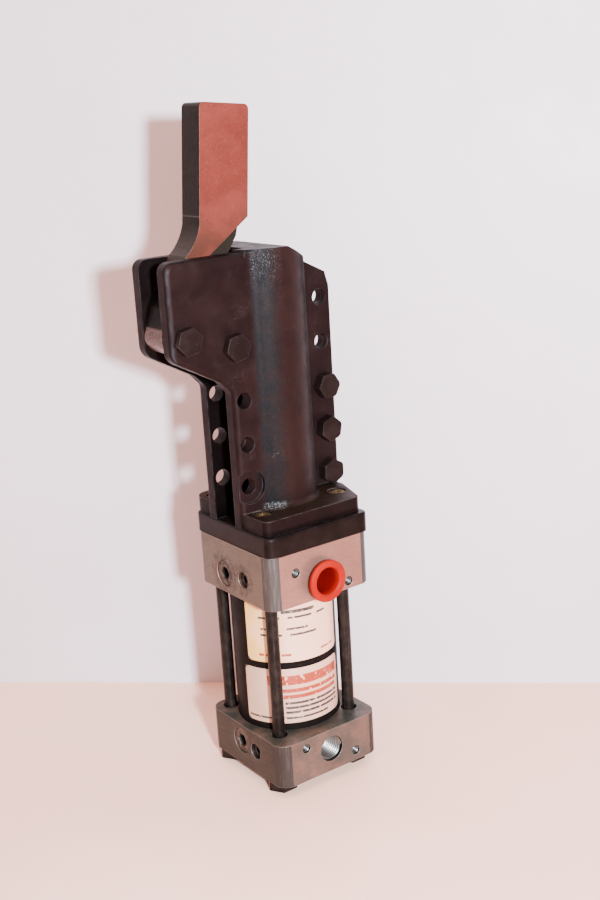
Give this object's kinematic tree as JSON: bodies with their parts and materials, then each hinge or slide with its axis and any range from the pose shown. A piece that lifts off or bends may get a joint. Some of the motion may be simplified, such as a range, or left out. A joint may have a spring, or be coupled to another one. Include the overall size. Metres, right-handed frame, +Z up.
{
  "type": "pneumatic toggle clamp",
  "caption": "Pneumatic clamp: tie-rod air cylinder driving a red swing arm through toggle links inside a bolted two-half steel housing.",
  "frame": {"origin": "centre of the lower head's underside, on the cylinder axis", "axes": "+Z up along the cylinder towards the arm; -X is the side the arm closes towards; Y is along the arm's pivot pin, with the supply ports on -Y"},
  "size_m": [0.124, 0.0898, 0.4232],
  "materials": {
    "head_metal": "milled faces with rough cast-look corners",
    "tube_black": "semi-gloss black",
    "seal_rubber": "matte",
    "label_film": "printed film, satin",
    "rod_black": "black oxide, slightly glossy",
    "plug_steel": "plain steel, stained",
    "cap_plastic": "soft moulded plastic",
    "piston_alloy": "turned",
    "wear_plastic": "matte",
    "fastener_black": "black oxide",
    "chrome_rod": "hard chrome",
    "bronze": "turned bearing bronze",
    "body_black": "black oxide with worn edges",
    "brass": "machined",
    "screw_yellow": "yellow zinc plate, worn",
    "arm_red": "faded red paint on the sides, bare dark edges",
    "link_steel": "hardened steel",
    "slide_steel": "ground steel"
  },
  "bodies": {
    "housing": {"lower_head": "head_metal", "upper_head": "head_metal", "cylinder_tube": "tube_black", "tube_gaskets": "seal_rubber", "tube_label_lower": "label_film", "tube_label_upper": "label_film", "tie_rods": "rod_black", "tie_rod_nuts": "rod_black", "pipe_plugs": "plug_steel", "cushion_screws": "plug_steel", "port_cap": "cap_plastic", "rod_bushing": "bronze", "rod_seal": "seal_rubber", "rod_wiper": "seal_rubber", "retainer_plate": "body_black", "body_half_near": "body_black", "body_half_far": "body_black", "flange_bolts": "fastener_black", "flange_nuts": "fastener_black", "pivot_pin": "fastener_black", "stop_bolt": "fastener_black", "stop_nut": "fastener_black", "grease_fitting": "brass", "foot_screws": "screw_yellow"},
    "rod": {"piston": "piston_alloy", "piston_seals": "seal_rubber", "piston_wear_band": "wear_plastic", "piston_nut": "fastener_black", "piston_rod": "chrome_rod", "slide": "slide_steel"},
    "arm": {"arm": "arm_red", "arm_bush": "bronze"},
    "links": {"toggle_links": "link_steel", "link_pin_arm": "link_steel", "link_pin_slide": "link_steel"}
  },
  "joints": [
    {"name": "rod_slide", "type": "slide", "parent": "housing", "child": "rod", "axis": [0, 0, 1], "range_m": [0, 0.05]},
    {"name": "arm_swing", "type": "hinge", "parent": "housing", "child": "arm", "pos_m": [-0.0675, 0, 0.286], "axis": [0, -1, 0], "range_deg": [0, 90]},
    {"name": "link_swing", "type": "hinge", "parent": "arm", "child": "links", "pos_m": [-0.05435, 0, 0.31296], "axis": [0, -1, 0], "range_deg": [-48.9, 0]}
  ],
  "couplings": [
    {"joint": "arm_swing", "follows": "rod_slide", "rad_per_m": 31.416},
    {"joint": "link_swing", "follows": "rod_slide", "rad_per_m": -17.061}
  ]
}
